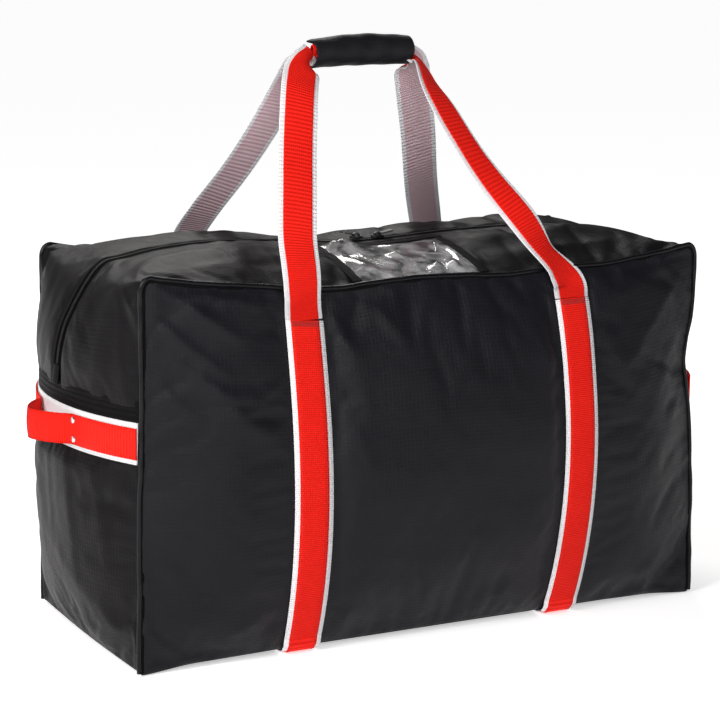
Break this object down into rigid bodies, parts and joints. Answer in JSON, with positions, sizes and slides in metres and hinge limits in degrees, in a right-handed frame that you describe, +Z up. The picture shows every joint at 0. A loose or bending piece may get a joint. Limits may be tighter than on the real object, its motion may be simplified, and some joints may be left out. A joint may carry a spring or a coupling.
{
  "type": "hockey equipment bag",
  "caption": "Large soft box bag with a full-length top zip, wrap-around strap handles joined by a carrying grip, and riveted end grab loops.",
  "frame": {"origin": "middle of the base, on the surface the bag stands on", "axes": "+Z up, +X along the bag's length, -Y towards the front panel (the side with the identity window)"},
  "size_m": [0.9606, 0.4438, 0.7569],
  "materials": {
    "coated_nylon": "black ripstop nylon with a semi-gloss coating, creased",
    "base_fabric": "heavy black coated fabric",
    "piping_vinyl": "gloss black vinyl piping",
    "black_tape": "black ribbed binding tape",
    "zip_tape": "black woven zip tape",
    "zip_teeth": "black nylon coil",
    "clear_vinyl": "clear crumpled vinyl",
    "slider_metal": "black enamelled metal",
    "grip_fabric": "black padded nylon",
    "red_webbing": "bright red ribbed polyester webbing",
    "white_webbing": "white polyester webbing",
    "rivet_metal": "nickel-plated dome"
  },
  "bodies": {
    "shell": {"front_panel": "coated_nylon", "back_panel": "coated_nylon", "base_panel": "base_fabric", "left_end_panel": "coated_nylon", "right_end_panel": "coated_nylon", "front_piping": "piping_vinyl", "back_piping": "piping_vinyl", "front_seam_binding": "black_tape", "back_seam_binding": "black_tape", "left_zip_end_run": "zip_tape", "left_zip_garage": "black_tape", "left_body_webbing": "white_webbing", "left_body_stripe": "red_webbing", "left_end_band": "black_tape", "left_end_webbing": "white_webbing", "left_end_front_tab": "red_webbing", "left_end_back_tab": "red_webbing", "left_front_lower_rivet": "rivet_metal", "left_front_upper_rivet": "rivet_metal", "left_back_lower_rivet": "rivet_metal", "left_back_upper_rivet": "rivet_metal", "right_zip_end_run": "zip_tape", "right_zip_garage": "black_tape", "right_body_webbing": "white_webbing", "right_body_stripe": "red_webbing", "right_end_band": "black_tape", "right_end_webbing": "white_webbing", "right_end_front_tab": "red_webbing", "right_end_back_tab": "red_webbing", "right_front_lower_rivet": "rivet_metal", "right_front_upper_rivet": "rivet_metal", "right_back_lower_rivet": "rivet_metal", "right_back_upper_rivet": "rivet_metal"},
    "front_flap": {"front_flap_panel": "coated_nylon", "front_zip_tape": "zip_tape", "front_zip_teeth": "zip_teeth", "id_window": "clear_vinyl", "window_left_binding": "black_tape", "window_right_binding": "black_tape", "window_back_binding": "black_tape"},
    "back_flap": {"back_flap_panel": "coated_nylon", "back_zip_tape": "zip_tape", "back_zip_teeth": "zip_teeth"},
    "left_slider": {"left_slider_body": "slider_metal"},
    "left_pull": {"left_slider_pull": "slider_metal"},
    "right_slider": {"right_slider_body": "slider_metal"},
    "right_pull": {"right_slider_pull": "slider_metal"},
    "front_handle": {"front_left_handle_webbing": "white_webbing", "front_left_handle_stripe": "red_webbing", "front_right_handle_webbing": "white_webbing", "front_right_handle_stripe": "red_webbing", "front_grip_webbing": "red_webbing", "grip_wrap": "grip_fabric"},
    "back_handle": {"back_left_handle_webbing": "white_webbing", "back_left_handle_stripe": "red_webbing", "back_right_handle_webbing": "white_webbing", "back_right_handle_stripe": "red_webbing", "back_grip_webbing": "red_webbing"},
    "left_loop": {"left_grab_loop": "red_webbing"},
    "right_loop": {"right_grab_loop": "red_webbing"}
  },
  "joints": [
    {"name": "front_flap_lift", "type": "hinge", "parent": "shell", "child": "front_flap", "pos_m": [0, -0.175, 0.472], "axis": [1, 0, 0], "range_deg": [0, 42], "deforming": ["front_zip_tape", "front_zip_teeth"]},
    {"name": "back_flap_lift", "type": "hinge", "parent": "shell", "child": "back_flap", "pos_m": [0, 0.175, 0.472], "axis": [-1, 0, 0], "range_deg": [0, 42], "deforming": ["back_zip_tape", "back_zip_teeth"]},
    {"name": "left_slider_travel", "type": "slide", "parent": "front_flap", "child": "left_slider", "axis": [-0.9998, 0, 0.0201], "range_m": [0, 0.27]},
    {"name": "right_slider_travel", "type": "slide", "parent": "front_flap", "child": "right_slider", "axis": [0.9997, 0, 0.0231], "range_m": [0, 0.27]},
    {"name": "left_pull_flip", "type": "hinge", "parent": "left_slider", "child": "left_pull", "pos_m": [-0.024, 0, 0.49843], "axis": [0, 1, 0], "range_deg": [-10, 108]},
    {"name": "right_pull_flip", "type": "hinge", "parent": "right_slider", "child": "right_pull", "pos_m": [0.008, 0, 0.49814], "axis": [0, -1, 0], "range_deg": [-10, 108]},
    {"name": "front_handle_drop", "type": "hinge", "parent": "shell", "child": "front_handle", "pos_m": [0, -0.197, 0.427], "axis": [1, 0, 0], "range_deg": [0, 186]},
    {"name": "back_handle_drop", "type": "hinge", "parent": "shell", "child": "back_handle", "pos_m": [0, 0.197, 0.427], "axis": [-1, 0, 0], "range_deg": [0, 186]},
    {"name": "left_loop_flex", "type": "hinge", "parent": "shell", "child": "left_loop", "pos_m": [-0.444, 0, 0.287], "axis": [0, 1, 0], "range_deg": [-15, 15], "stiffness_Nm_per_rad": 0.05},
    {"name": "right_loop_flex", "type": "hinge", "parent": "shell", "child": "right_loop", "pos_m": [0.444, 0, 0.287], "axis": [0, 1, 0], "range_deg": [-15, 15], "stiffness_Nm_per_rad": 0.05}
  ]
}
